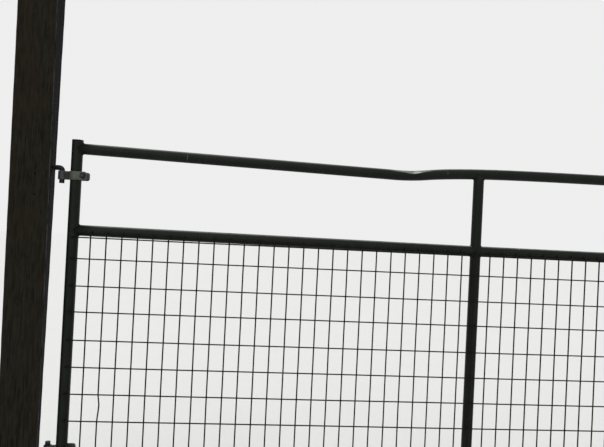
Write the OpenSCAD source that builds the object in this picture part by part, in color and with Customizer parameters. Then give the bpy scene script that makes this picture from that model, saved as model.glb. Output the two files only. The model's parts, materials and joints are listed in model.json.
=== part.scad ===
// A long farm gate: a round-tube frame, welded wire in its lower part, an open band above it,
// hung by two strap hinges on hooks in a squared timber post, with the matching post at the far end.
// The origin is the middle of the hinge post's foot. +X runs along the shut gate, -Y is its wired face.

/* [Tube frame] */
// Outside diameter of every tube
tube_d = 41.3; // [30:0.1:60]
// Wall of the tubes
tube_wall = 2; // [1.5:0.1:4]
// Height of the bottom rail's centre line above the ground
bottom_rail_z = 190; // [120:5:400]
// Second rail above the bottom rail, centre to centre at the stiles
mesh_bay_h = 933.5; // [600:0.5:1200]
// Top rail above the second rail, centre to centre at the stiles
open_band_h = 309; // [200:1:400]
// Length of stile that stands past the top and bottom rails
stile_over = 30; // [26:1:60]
// Thickness of the plates that close the stiles' ends
cap_t = 2.5; // [1:0.5:5]
// Gap left between a coped end and the tube that it is welded to
weld_gap = 0.3; // [0.1:0.1:0.6]

/* [Wire mesh] */
// Diameter of the upright wires
upright_d = 5.4; // [3:0.1:7]
// Diameter of the level wires
level_d = 4.9; // [3:0.1:7]
// Spacing of the upright wires
upright_pitch = 57.5; // [40:0.5:100]
// Spacing of the level wires
level_pitch = 101.6; // [60:0.1:120]
// Highest level wire above the one below it, which is less than a full pitch
top_pitch = 79.5; // [40:0.5:100]
// Second rail's centre line at the stile above that highest wire
top_wire_drop = 26; // [15:0.5:40]
// Hinge stile's centre line to the first upright wire
edge_gap = 72.5; // [50:0.5:120]
// Upright wire spacings in each of the two outer bays
outer_spaces = 26; // [12:1:26]
// Upright wire spacings in the middle bay
middle_spaces = 27; // [12:1:27]
// First brace's centre line past the upright wire in front of it, and the second's short of its own
brace_shift = 7; // [0:1:15]
// Depth that crossing wires are pressed into each other by welding
weld_sink = 1.5; // [0.5:0.1:2]

/* [Strap hinges] */
// Diameter of the hook that carries the gate
hook_d = 19; // [14:0.5:22]
// Hook's pin to the hinge stile, centre to centre
pin_to_stile = 51; // [46:1:70]
// Thickness of the strap
strap_t = 5; // [3:0.5:6]
// Height of the strap
strap_h = 32; // [25:1:50]
// Strap's middle below the top rail and above the bottom rail
hinge_inset = 104; // [80:0.5:200]
// Stile's centre line to the strap's rounded ends
strap_reach = 45; // [44:0.5:60]
// Stile's centre line to the clamp bolt
bolt_offset = 32; // [30:0.5:34]
// Diameter of the clamp bolt
bolt_d = 12; // [8:1:14]
// Length of bolt that shows past its nut
bolt_past = 4; // [1:0.5:10]
// Slack round the clamp bolt in the strap's holes
bolt_slack = 0.3; // [0.1:0.1:0.6]
// Gap between the bolt and its nut, in place of the thread
thread_fit = 0.1; // [0.05:0.05:0.2]
// Radial running clearance of the strap's eye on the pin
pin_fit = 0.1; // [0.05:0.01:0.1]
// Gap between a wire's cut end and a strap
wire_end_gap = 1; // [0.5:0.5:5]
// Inner radius of the hook's bend, on which the strap's eye rests
hook_bend_in = 2; // [1:0.5:8]
// Length of pin that shows past the strap's eye
pin_past = 14; // [5:1:30]

/* [Posts] */
// Side of the squared timber posts
post_w = 140; // [120:1:160]
// Height of the posts above the ground
post_h = 2200; // [1700:10:2600]
// Turn of each post's foot about its own centre line, away from the wired side
post_turn = 17; // [0:1:18]
// Twist of the sawn timber over its height, back towards square
post_twist = 12; // [0:1:16]
// Post's centre line to the hinge pin
post_to_pin = 106; // [104:1:130]
// Depth that a hook runs into its post
hook_bite = 100; // [60:5:130]
// Slack round the hook in its bored hole
hook_hole_fit = 0.2; // [0.1:0.1:0.5]

/* [Damage] */
// Hinge stile to the crease in the top rail
crease_x = 1298; // [600:10:2000]
// Drop of the top rail's centre line at the crease, were its bend sharp
crease_drop = 30; // [5:1:40]
// Half the length over which the rail bends there
bend_half = 75; // [30:5:110]
// Depth that the rail's top is pushed in at the crease
crease_depth = 17; // [4:1:22]
// Half the length of the dent
crease_half = 115; // [40:5:140]
// How pointed the dent is, where 1 is a plain V
crease_point = 1.3; // [1:0.1:2]
// Share of the crease's depth by which the tube's sides bulge there
crease_spread = 0.15; // [0:0.05:0.3]
// Length over which the rail springs back beyond the crease
spring_len = 190; // [120:10:400]
// Sag of the second rail in the middle bay
second_sag = 8; // [0:0.5:20]
// Upright wire that is bent, counted from the hinge stile
bent_wire = 1; // [0:1:20]
// Level wire above the bend, counted from the top
bent_below = 6; // [1:1:7]
// Sideways bulge of the bent wire
bent_out = 5; // [1:0.5:15]

/* [Hidden] */

// Sides given to a round tube whose section changes along its length
SKIN_SIDES = 32;
// Sides given to a wire
WIRE_SIDES = 6;
// Facets of a true round
ROUND = 96;
// Steps in which the posts' twist is laid
POST_SLICES = 16;
// Overlap that carries a cut clean past a face
CUT = 1;
// Head height, nut height and width across flats, as shares of the bolt's diameter
HEAD_SHARE = 0.65;
NUT_SHARE = 0.85;
FLATS_SHARE = 1.6;
HEX_SIDES = 6;
// Places across the dent where a section is laid, as shares of its half length
DENT_STOPS = [-1, -0.75, -0.52, -0.34, -0.18, -0.07, 0, 0.07, 0.18, 0.34, 0.52, 0.75, 1];
// Sections beyond the dent, and their spacing as a share of the spring length
SPRING_STOPS = 5;
SPRING_STEP = 0.5;
// Shape of the bent wire: share of the way up between two level wires, share of the bulge
BULGE = [[0, 0], [0.15, 0.2], [0.4, 0.7], [0.65, 1], [0.85, 0.4], [1, 0]];

TUBE_COLOR = [0.11, 0.13, 0.125];
WIRE_COLOR = [0.13, 0.11, 0.08];
STRAP_COLOR = [0.29, 0.31, 0.28];
BOLT_COLOR = [0.2, 0.21, 0.2];
HOOK_COLOR = [0.16, 0.16, 0.17];
TIMBER_COLOR = [0.16, 0.14, 0.12];

tube_r = tube_d / 2;
bore_r = tube_r - tube_wall;
pin_x = post_to_pin;
stile_x = pin_x + pin_to_stile;
first_wire_x = stile_x + edge_gap;
last_wire = 2 * outer_spaces + middle_spaces;
brace_1_x = first_wire_x + outer_spaces * upright_pitch + brace_shift;
brace_2_x = first_wire_x + (outer_spaces + middle_spaces) * upright_pitch - brace_shift;
latch_stile_x = first_wire_x + last_wire * upright_pitch + edge_gap;
latch_post_x = latch_stile_x + stile_x;

second_rail_z = bottom_rail_z + mesh_bay_h;
top_rail_z = second_rail_z + open_band_h;
stile_low = bottom_rail_z - stile_over;
stile_high = top_rail_z + stile_over;

level_y = -(tube_r + weld_gap + level_d / 2);
upright_y = level_y - (level_d + upright_d) / 2 + weld_sink;
top_wire_z = second_rail_z - top_wire_drop;
level_count = 2 + floor((top_wire_z - top_pitch - bottom_rail_z - level_d) / level_pitch);

hook_r = hook_d / 2;
eye_r = hook_r + pin_fit;
collar_r = tube_r + weld_gap;
upper_hinge_z = top_rail_z - hinge_inset;
lower_hinge_z = bottom_rail_z + hinge_inset;
hook_bend_r = hook_r + hook_bend_in;
shank_off = strap_h / 2 + weld_gap + hook_bend_r;
bolt_x = stile_x + bolt_offset;
bolt_grip = collar_r + strap_t;
head_h = HEAD_SHARE * bolt_d;
nut_h = NUT_SHARE * bolt_d;
hex_d = FLATS_SHARE * bolt_d / cos(180 / HEX_SIDES);

// How far the level wires lie above their even places, from the top
level_shift = [0, 0, -1.2, 3.1, -1.5, -0.8, -0.3, 1];

// Height of level wire i, counted from the top
function level_z(i) = (i < len(level_shift) ? level_shift[i] : 0)
                      + (i == 0 ? top_wire_z : top_wire_z - top_pitch - (i - 1) * level_pitch);

// Drop of the top rail's centre line with a sharp bend, x along the gate from the hinge stile
function sharp_drop(x) = x < crease_x ? crease_drop * x / crease_x
                                      : crease_drop * exp(-(x - crease_x) / spring_len);

// The same with the bend rounded
function bent_drop(x) =
    let (share = (x - crease_x + bend_half) / (2 * bend_half))
    share <= 0 || share >= 1 ? sharp_drop(x)
    : pow(1 - share, 2) * sharp_drop(crease_x - bend_half) + 2 * share * (1 - share) * crease_drop
      + pow(share, 2) * sharp_drop(crease_x + bend_half);

// Share of the crease's depth at u along the gate from the crease
function dent(u) = abs(u) >= crease_half ? 0 : pow(1 - abs(u) / crease_half, crease_point);

// Drop of the second rail's centre line, which lies level between the braces
function second_drop(x) = second_sag * min(1, min(x, latch_stile_x - stile_x - x) / (brace_1_x - stile_x));

// Section of a tube of radius r whose top is pushed in, at x and z
function section(x, z, r, push) =
    [for (k = [0:SKIN_SIDES - 1]) let (a = 360 * k / SKIN_SIDES, s = sin(a))
        [x, (r + crease_spread * push) * cos(a), z + (s > 0 ? (r - push) * s : r * s)]];

// Solid skin through a row of sections
module skin(rings) {
    n = len(rings[0]);
    m = len(rings);
    pts = [for (ring = rings) for (p = ring) p];
    sides = [for (i = [0:m - 2]) for (k = [0:n - 1]) let (k2 = (k + 1) % n)
        each [[i * n + k, (i + 1) * n + k2, i * n + k2], [i * n + k, (i + 1) * n + k, (i + 1) * n + k2]]];
    near = [[for (k = [0:n - 1]) k]];
    far = [[for (k = [n - 1:-1:0]) (m - 1) * n + k]];
    polyhedron(points = pts, faces = concat(sides, near, far));
}

// Distances from the hinge stile at which the top rail's section is laid
rail_run = latch_stile_x - stile_x;
top_stops = concat([0], [for (u = DENT_STOPS) crease_x + u * crease_half],
                   [for (i = [1:SPRING_STOPS]) crease_x + crease_half + i * spring_len * SPRING_STEP],
                   [rail_run]);
second_stops = [0, brace_1_x - stile_x, brace_2_x - stile_x, rail_run];
top_line = [for (x = top_stops) [x, x < rail_run ? bent_drop(x) : 0]];

// Drop and slope of the top rail's centre line as it is laid
function top_drop(x) = lookup(x, top_line);
function top_slope(x) = atan((top_drop(x + tube_r) - top_drop(x - tube_r)) / tube_d);

// Top rail as a solid of radius r, pushed in at the crease
module top_rail_solid(r) {
    skin([for (x = top_stops)
        section(stile_x + x, top_rail_z - top_drop(x), r, crease_depth * dent(x - crease_x))]);
}

// Second rail as a solid of radius r
module second_rail_solid(r) {
    skin([for (x = second_stops) section(stile_x + x, second_rail_z - second_drop(x), r, 0)]);
}

// Round bar along X
module bar_x(x1, x2, y, z, r) {
    translate([x1, y, z]) rotate([0, 90, 0]) cylinder(h = x2 - x1, r = r, $fn = ROUND);
}

// Round bar along Y
module bar_y(x, y1, y2, z, r) {
    translate([x, y2, z]) rotate([90, 0, 0]) cylinder(h = y2 - y1, r = r, $fn = ROUND);
}

// Round bar along Z
module bar_z(x, y, z1, z2, r) {
    translate([x, y, z1]) cylinder(h = z2 - z1, r = r, $fn = ROUND);
}

// Cuts the ends of a rail to the round of both stiles
module cope_to_stiles() {
    for (x = [stile_x, latch_stile_x])
        bar_z(x, 0, stile_low, stile_high, tube_r + weld_gap);
}

// Upright tube at x from z1 to z2
module upright_tube(x, z1, z2) {
    difference() {
        bar_z(x, 0, z1, z2, tube_r);
        bar_z(x, 0, z1 - CUT, z2 + CUT, bore_r);
    }
}

module stile(x) {
    color(TUBE_COLOR) upright_tube(x, stile_low, stile_high);
}

module hinge_stile() {
    stile(stile_x);
}

module latch_stile() {
    stile(latch_stile_x);
}

module stile_caps() {
    color(TUBE_COLOR)
        for (x = [stile_x, latch_stile_x]) {
            bar_z(x, 0, stile_high, stile_high + cap_t, tube_r);
            bar_z(x, 0, stile_low - cap_t, stile_low, tube_r);
        }
}

module top_rail() {
    color(TUBE_COLOR) difference() {
        top_rail_solid(tube_r);
        top_rail_solid(bore_r);
        cope_to_stiles();
    }
}

module second_rail() {
    color(TUBE_COLOR) difference() {
        second_rail_solid(tube_r);
        second_rail_solid(bore_r);
        cope_to_stiles();
    }
}

module bottom_rail() {
    color(TUBE_COLOR) difference() {
        bar_x(stile_x, latch_stile_x, 0, bottom_rail_z, tube_r);
        bar_x(stile_x, latch_stile_x, 0, bottom_rail_z, bore_r);
        cope_to_stiles();
    }
}

// Brace in the open band at x, coped to the rails above and below it
module upper_brace(x) {
    low = second_rail_z - second_drop(x - stile_x);
    high = top_rail_z - top_drop(x - stile_x);
    color(TUBE_COLOR) difference() {
        upright_tube(x, low, high);
        bar_x(x - tube_d, x + tube_d, 0, low, tube_r + weld_gap);
        translate([x, 0, high]) rotate([0, top_slope(x - stile_x), 0])
            bar_x(-tube_d, tube_d, 0, 0, tube_r + weld_gap);
    }
}

// Brace behind the wires at x, coped to the rails above and below it
module lower_brace(x) {
    high = second_rail_z - second_drop(x - stile_x);
    color(TUBE_COLOR) difference() {
        upright_tube(x, bottom_rail_z, high);
        bar_x(x - tube_d, x + tube_d, 0, bottom_rail_z, tube_r + weld_gap);
        bar_x(x - tube_d, x + tube_d, 0, high, tube_r + weld_gap);
    }
}

module upper_brace_1() {
    upper_brace(brace_1_x);
}

module upper_brace_2() {
    upper_brace(brace_2_x);
}

module lower_brace_1() {
    lower_brace(brace_1_x);
}

module lower_brace_2() {
    lower_brace(brace_2_x);
}

// Section of an upright wire at x and z
function wire_ring(x, z) = [for (k = [0:WIRE_SIDES - 1]) let (a = 360 * k / WIRE_SIDES)
    [x + upright_d / 2 * cos(a), upright_y + upright_d / 2 * sin(a), z]];

// Upright wire i from the bottom rail's middle to the second rail's, one of them with its bulge
module upright_wire(i) {
    x = first_wire_x + i * upright_pitch;
    high = second_rail_z - second_drop(x - stile_x);
    if (i == bent_wire) {
        from = level_z(bent_below + 1);
        span = level_z(bent_below) - from;
        skin(concat([wire_ring(x, bottom_rail_z)],
                    [for (b = BULGE) wire_ring(x + bent_out * b[1], from + span * b[0])],
                    [wire_ring(x, high)]));
    } else {
        translate([x, upright_y, bottom_rail_z])
            cylinder(h = high - bottom_rail_z, d = upright_d, $fn = WIRE_SIDES);
    }
}

// Height of level wire i above or below the nearer hinge strap's middle
function strap_off(i) = min([for (z = [upper_hinge_z, lower_hinge_z]) abs(level_z(i) - z)]);

// Start of level wire i, which stops short of a hinge strap at its own height
function level_start(i) = strap_off(i) < (strap_h + level_d) / 2 + wire_end_gap
                          ? stile_x + strap_reach + wire_end_gap : stile_x;

// Welded wires of one bay: upright wires first to last, level wires from x1 to x2
module mesh_bay(first, last, x1, x2) {
    color(WIRE_COLOR) union() {
        for (i = [first:last])
            upright_wire(i);
        for (i = [0:level_count - 1])
            translate([max(x1, level_start(i)), level_y, level_z(i)]) rotate([0, 90, 0])
                cylinder(h = x2 - max(x1, level_start(i)), d = level_d, $fn = WIRE_SIDES);
    }
}

// Places halfway between two upright wires where one bay's level wires end and the next begin
bay_join_1 = first_wire_x + (outer_spaces + 0.5) * upright_pitch;
bay_join_2 = first_wire_x + (outer_spaces + middle_spaces - 0.5) * upright_pitch;

module mesh_hinge_bay() {
    mesh_bay(0, outer_spaces, stile_x, bay_join_1);
}

module mesh_middle_bay() {
    mesh_bay(outer_spaces + 1, last_wire - outer_spaces - 1, bay_join_1, bay_join_2);
}

module mesh_latch_bay() {
    mesh_bay(last_wire - outer_spaces, last_wire, bay_join_2, latch_stile_x);
}

// Strap in plan: an eye round the pin, a pinched neck, a collar round the stile and two flat ends
module strap_plan() {
    difference() {
        union() {
            translate([pin_x, 0]) circle(r = eye_r + strap_t, $fn = ROUND);
            translate([stile_x, 0]) circle(r = collar_r + strap_t, $fn = ROUND);
            translate([pin_x, -strap_t]) square([pin_to_stile, 2 * strap_t]);
            translate([stile_x, -collar_r - strap_t]) square([strap_reach, 2 * (collar_r + strap_t)]);
        }
        translate([pin_x, 0]) circle(r = eye_r, $fn = ROUND);
        translate([stile_x, 0]) circle(r = collar_r, $fn = ROUND);
        translate([stile_x, -collar_r]) square([strap_reach + CUT, 2 * collar_r]);
    }
}

// Bent strap with its middle at height z, its ends rounded and drilled
module strap(z) {
    end_x = stile_x + strap_reach;
    color(STRAP_COLOR) difference() {
        intersection() {
            translate([0, 0, z - strap_h / 2]) linear_extrude(strap_h) strap_plan();
            union() {
                translate([0, -tube_d, z - strap_h / 2])
                    cube([end_x - strap_h / 2, 2 * tube_d, strap_h]);
                bar_y(end_x - strap_h / 2, -tube_d, tube_d, z, strap_h / 2);
            }
        }
        bar_y(bolt_x, -tube_d, tube_d, z, bolt_d / 2 + bolt_slack);
    }
}

module upper_strap() {
    strap(upper_hinge_z);
}

module lower_strap() {
    strap(lower_hinge_z);
}

// Clamp bolt at height z, its head behind and its end through the nut on the wired side
module clamp_bolt(z) {
    color(BOLT_COLOR) {
        bar_y(bolt_x, -(bolt_grip + nut_h + bolt_past), bolt_grip, z, bolt_d / 2);
        translate([bolt_x, bolt_grip + head_h, z]) rotate([90, 0, 0])
            cylinder(h = head_h, d = hex_d, $fn = HEX_SIDES);
    }
}

module upper_bolt() {
    clamp_bolt(upper_hinge_z);
}

module lower_bolt() {
    clamp_bolt(lower_hinge_z);
}

// Nut of the clamp bolt at height z
module clamp_nut(z) {
    color(BOLT_COLOR) difference() {
        translate([bolt_x, -bolt_grip, z]) rotate([90, 0, 0])
            cylinder(h = nut_h, d = hex_d, $fn = HEX_SIDES);
        bar_y(bolt_x, -(bolt_grip + nut_h + CUT), CUT - bolt_grip, z, bolt_d / 2 + thread_fit);
    }
}

module upper_nut() {
    clamp_nut(upper_hinge_z);
}

module lower_nut() {
    clamp_nut(lower_hinge_z);
}

// Hook with its pin at height z: up is 1 where the pin points up, -1 where it points down
module hook(z, up) {
    pin_half = strap_h / 2 + pin_past;
    color(HOOK_COLOR) translate([0, 0, z]) mirror([0, 0, up < 0 ? 1 : 0]) {
        bar_z(pin_x, 0, hook_bend_r - shank_off, pin_half, hook_r);
        translate([pin_x - hook_bend_r, 0, hook_bend_r - shank_off]) rotate([90, 0, 0]) rotate(-90)
            rotate_extrude(angle = 90, $fn = ROUND)
                translate([hook_bend_r, 0]) circle(r = hook_r, $fn = ROUND);
        bar_x(post_w / 2 - hook_bite, pin_x - hook_bend_r, 0, -shank_off, hook_r);
    }
}

module upper_hook() {
    hook(upper_hinge_z, -1);
}

module lower_hook() {
    hook(lower_hinge_z, 1);
}

// Squared timber post at x, its foot turned by turn degrees and its length twisted back by twist
module post(x, turn, twist) {
    translate([x, 0, 0]) rotate(turn)
        linear_extrude(height = post_h, twist = twist, slices = POST_SLICES) square(post_w, center = true);
}

module hinge_post() {
    hole_r = hook_r + hook_hole_fit;
    color(TIMBER_COLOR) difference() {
        post(0, post_turn, post_twist);
        for (z = [upper_hinge_z + shank_off, lower_hinge_z - shank_off])
            bar_x(post_w / 2 - hook_bite - CUT, post_w, 0, z, hole_r);
    }
}

module latch_post() {
    color(TIMBER_COLOR) post(latch_post_x, -post_turn, -post_twist);
}

hinge_post();
latch_post();
upper_hook();
lower_hook();
hinge_stile();
latch_stile();
stile_caps();
top_rail();
second_rail();
bottom_rail();
upper_brace_1();
upper_brace_2();
lower_brace_1();
lower_brace_2();
mesh_hinge_bay();
mesh_middle_bay();
mesh_latch_bay();
upper_strap();
lower_strap();
upper_bolt();
lower_bolt();
upper_nut();
lower_nut();
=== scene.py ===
import json
import math
import random

import bpy
from mathutils import Matrix, Vector, noise

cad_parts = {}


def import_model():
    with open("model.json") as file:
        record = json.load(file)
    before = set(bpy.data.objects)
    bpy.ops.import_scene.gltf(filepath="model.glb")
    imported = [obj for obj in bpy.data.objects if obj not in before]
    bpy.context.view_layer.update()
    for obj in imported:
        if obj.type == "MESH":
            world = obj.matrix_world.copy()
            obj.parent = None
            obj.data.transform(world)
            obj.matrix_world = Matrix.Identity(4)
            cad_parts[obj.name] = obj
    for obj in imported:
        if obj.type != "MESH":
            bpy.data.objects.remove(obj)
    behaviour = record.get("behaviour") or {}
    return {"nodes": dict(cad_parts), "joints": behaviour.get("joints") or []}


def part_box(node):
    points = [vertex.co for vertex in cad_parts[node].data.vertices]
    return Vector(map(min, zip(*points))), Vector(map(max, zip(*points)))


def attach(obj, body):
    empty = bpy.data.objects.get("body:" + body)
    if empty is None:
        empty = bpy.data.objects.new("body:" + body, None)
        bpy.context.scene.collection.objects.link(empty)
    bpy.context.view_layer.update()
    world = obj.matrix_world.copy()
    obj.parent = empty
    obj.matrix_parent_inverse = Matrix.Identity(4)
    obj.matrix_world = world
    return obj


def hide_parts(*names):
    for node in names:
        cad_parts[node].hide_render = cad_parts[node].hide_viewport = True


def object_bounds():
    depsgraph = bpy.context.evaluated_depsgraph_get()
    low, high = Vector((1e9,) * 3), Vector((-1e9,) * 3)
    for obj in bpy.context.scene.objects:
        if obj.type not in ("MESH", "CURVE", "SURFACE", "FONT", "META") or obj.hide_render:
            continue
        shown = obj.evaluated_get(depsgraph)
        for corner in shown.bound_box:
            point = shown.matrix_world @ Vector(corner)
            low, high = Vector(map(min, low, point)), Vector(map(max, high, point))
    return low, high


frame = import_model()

cad_bounds = [list(corner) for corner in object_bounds()]

# Places read from the frame, in metres

X, Y, Z = 0, 1, 2
LOW, HIGH = 0, 1


def middle(node, axis):
    """Middle of a node's box along one axis."""
    low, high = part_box(node)
    return (low[axis] + high[axis]) / 2


def size(node, axis):
    """Size of a node's box along one axis."""
    low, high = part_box(node)
    return high[axis] - low[axis]


TUBE_R = size("hinge_stile", X) / 2
HINGE_STILE_X = middle("hinge_stile", X)
LATCH_STILE_X = middle("latch_stile", X)
BRACES_X = (middle("lower_brace_1", X), middle("lower_brace_2", X))
BOTTOM_Z = middle("bottom_rail", Z)
SECOND_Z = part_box("second_rail")[HIGH][Z] - TUBE_R
SECOND_SAG = size("second_rail", Z) - 2 * TUBE_R
TOP_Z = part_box("top_rail")[HIGH][Z] - TUBE_R
RAIL_ENDS = (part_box("top_rail")[LOW][X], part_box("top_rail")[HIGH][X])
STILE_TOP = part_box("hinge_stile")[HIGH][Z]
STILE_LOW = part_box("hinge_stile")[LOW][Z]
HINGES_Z = {"upper": middle("upper_strap", Z), "lower": middle("lower_strap", Z)}
PIN_X = frame["joints"][0]["pos_m"][X]
BOLT_X = middle("upper_bolt", X)
POST_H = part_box("hinge_post")[HIGH][Z]
LATCH_POST_X = middle("latch_post", X)

# Top rail's bend and the facet of its crease, with lengths in metres
CREASE_X = 1.298
CREASE_DROP = 0.03
BEND_HALF = 0.075
SPRING = 0.19
SPRING_REACH = 5
CREASE_DEPTH = 0.017
CREASE_HALF_LEFT = 0.095
CREASE_HALF = 0.115
CREASE_TIP = 0.006
CREASE_POINT = 1.3
CREASE_SPREAD = 0.15
CREASE_HOLLOW = 0.12
FAR_RIM = 0.06
LEAST_DENT = 0.0001

# Steps along the rails and round their sections
RAIL_SIDES = 48
CREASED_SIDES = 96
STRAIGHT_STEPS = 16
CREASE_STEPS = 80
SPRING_STEPS = 40
FAR_STEPS = 20
MIDDLE_STEPS = 8

# Wires, with lengths in metres
UPRIGHT_D = 0.0054
LEVEL_D = 0.0049
PITCH = 0.0575
EDGE_GAP = 0.0725
OUTER_SPACES = 26
MIDDLE_SPACES = 27
LEVEL_PITCH = 0.1016
TOP_PITCH = 0.0795
TOP_DROP = 0.026
LEVEL_SHIFT = (0, 0, -0.0012, 0.0031, -0.0015, -0.0008, -0.0003, 0.001)
WELD_GAP = 0.0003
WELD_SINK = 0.0015
UPRIGHT_WANDER = 0.0006
LEVEL_WANDER = 0.0005
CROSSING_HALF = (0.0034, 0.0023, 0.0032)
CROSSING_MESH = (8, 4)
WIRE_SIDES = 10
UPRIGHT_STEPS = 36
BENT_STEPS = 72
LEVEL_WIRE_STEP = 0.03
STRAP_CLEAR = 0.001

# Wander of the wires: how far neighbours differ, waves in a metre, and a layer of the noise
UPRIGHT_NOISE = (3.7, 4.0, 1.5)
LEVEL_NOISE = (5.3, 3.0, 7.5)

# Spot welds on the rails and on the upright tubes: half sizes, fixed or in a range, and how they sit
SPOT_MESH = (10, 6)
RAIL_SPOT_WIDE = (0.0036, 0.005)
RAIL_SPOT_DEEP = 0.0038
RAIL_SPOT_TALL = (0.004, 0.006)
RAIL_SPOT_SHIFT = 0.001
RAIL_SPOT_OUT = 0.0016
RAIL_SPOT_IN_BAY = 0.004
TUBE_SPOT_WIDE = (0.004, 0.006)
TUBE_SPOT_DEEP = 0.0026
TUBE_SPOT_TALL = (0.0034, 0.0044)
TUBE_SPOT_OUT = 0.0004
TUBE_SPOT_IN_BAY = 0.005

# The bent upright: its number, the level wire above the bulge, the bulge's size, and its shape by height
BENT_WIRE = 1
BENT_BELOW = 6
BENT_OUT = 0.005
BULGE = ((0, 0), (0.15, 0.2), (0.4, 0.7), (0.65, 1), (0.85, 0.4), (1, 0))

# Weld beads round the tubes' ends and the stiles' caps, with lengths in metres
BEAD_POINTS = 120
BEAD_SIDES = 8
BEAD_LIFT = 0.0006
BEAD_ROUND = 0.004
BEAD_R = 0.0026
BEAD_RIPPLE = 0.0004
BEAD_SWELL = 0.0003
RIPPLE_STEP = 1.7
SWELL_STEP = 0.31
WAVE_STARTS = (0, 6)
CAP_POINTS = 90
CAP_INSET = 0.0008
CAP_BEAD_R = 0.0016
CAP_RIPPLE = 0.0003
CAP_STEP = 1.9

# Hinges, with lengths in metres
STRAP_T = 0.005
STRAP_H = 0.032
STRAP_REACH = 0.045
STRAP_CORNER = 0.009
STRAP_EDGE = 0.0008
STRAP_EDGE_MOST = 0.4
STRAP_EDGE_ANGLES = (0, 30, 60, 90)
STRAP_PULL_IN = 0.0002
LEG_GAP = 0.00015
NECK_FILLET = 0.004
EYE_FILLET = 0.003
LEG_STEPS = 44
COLLAR_STEPS = 20
FILLET_STEPS = 6
EYE_STEPS = 24
EYE_R = 0.0096
COLLAR_R = TUBE_R + WELD_GAP
BOLT_D = 0.012
BOLT_PAST = 0.004
BOLT_TIP = 0.0015
BOLT_TIP_SLOPE = 0.8
BOLT_IN_HEAD = 0.001
BOLT_BEFORE_NUT = 0.002
THREAD_PITCH = 0.00175
THREAD_DEPTH = 0.0007
THREAD_STEPS = 72
BOLT_SIDES = 32
NUT_H = 0.0102
FLATS = 0.0192
HEX_SIDES = 48
CHAMFER = 0.0016
CHAMFER_START = 0.95
CHAMFER_GROWTH = 0.21
UNROUNDED = 2

# Posts, with lengths in metres and turns in degrees
POST_W = 0.14
POST_TURN = 17
POST_TWIST = 12
ARRIS = 0.004
POST_ROWS = 180
POST_COLUMNS = 58
CORNER_STEPS = 4
TOP_EDGE = 0.002
TOP_SHARES = (0.985, 0.9, 0.75, 0.55, 0.35, 0.15, 0.03)
TOP_ROUGH = 0.0008
TOP_FALL = 0.6
TOP_WAVES = 140

# Rough surface of the posts: depth, waves in a metre across and along, and a shift from side to side
FIBRE = (0.0007, 160, 3, 31)
HOLLOW = (0.0006, 30, 6, 17)
HOLLOW_SEED = 5
SAW_DEPTH = 0.0002
SAW_PITCH = 0.011
SAW_SLANT = 3

# Drying cracks: number on a side, ranges of place, low end, length, half width and depth, and their wander
CRACKS = 4
CRACK_PLACE = (-0.055, 0.055)
CRACK_LOW = (-0.2, 1.7)
CRACK_LENGTH = (0.2, 0.6)
CRACK_HALF = (0.0012, 0.0018)
CRACK_DEPTH = (0.001, 0.003)
CRACK_WANDER = 0.006
CRACK_WAVES = 5
CRACK_APART = 90

# Places of the wires and of the strap's near face
LAST_WIRE = 2 * OUTER_SPACES + MIDDLE_SPACES
TOP_WIRE_Z = SECOND_Z - TOP_DROP
LEVELS = 2 + int((TOP_WIRE_Z - TOP_PITCH - BOTTOM_Z - LEVEL_D) / LEVEL_PITCH)
LEVEL_Y = -(TUBE_R + WELD_GAP + LEVEL_D / 2)
UPRIGHT_Y = LEVEL_Y - (LEVEL_D + UPRIGHT_D) / 2 + WELD_SINK
FACE_Y = -(COLLAR_R + STRAP_T)


def level_z(i):
    """Height of level wire i, from the top."""
    shift = LEVEL_SHIFT[i] if i < len(LEVEL_SHIFT) else 0
    return shift + (TOP_WIRE_Z if i == 0 else TOP_WIRE_Z - TOP_PITCH - (i - 1) * LEVEL_PITCH)


def wire_x(i):
    """Place of upright wire i along the gate."""
    return HINGE_STILE_X + EDGE_GAP + i * PITCH


def sharp_drop(run):
    """Drop of the top rail's centre line with a sharp bend, at a distance from the hinge stile."""
    if run < CREASE_X:
        return CREASE_DROP * run / CREASE_X
    return CREASE_DROP * math.exp(-(run - CREASE_X) / SPRING)


def top_rail_z(x):
    """Height of the top rail's centre line, its bend rounded."""
    run = x - HINGE_STILE_X
    share = (run - CREASE_X + BEND_HALF) / (2 * BEND_HALF)
    if share <= 0 or share >= 1:
        return TOP_Z - sharp_drop(run)
    before = (1 - share) ** 2 * sharp_drop(CREASE_X - BEND_HALF)
    after = share ** 2 * sharp_drop(CREASE_X + BEND_HALF)
    return TOP_Z - (before + after) - 2 * share * (1 - share) * CREASE_DROP


def second_rail_z(x):
    """Height of the second rail's centre line."""
    near = min(x - HINGE_STILE_X, LATCH_STILE_X - x)
    return SECOND_Z - SECOND_SAG * min(1, near / (BRACES_X[0] - HINGE_STILE_X))


# Meshes


def around(sides):
    """Angles of a ring's points."""
    return [2 * math.pi * k / sides for k in range(sides)]


def steps(start, end, count):
    """count + 1 even places from start to end."""
    return [start + (end - start) * i / count for i in range(count + 1)]


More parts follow.
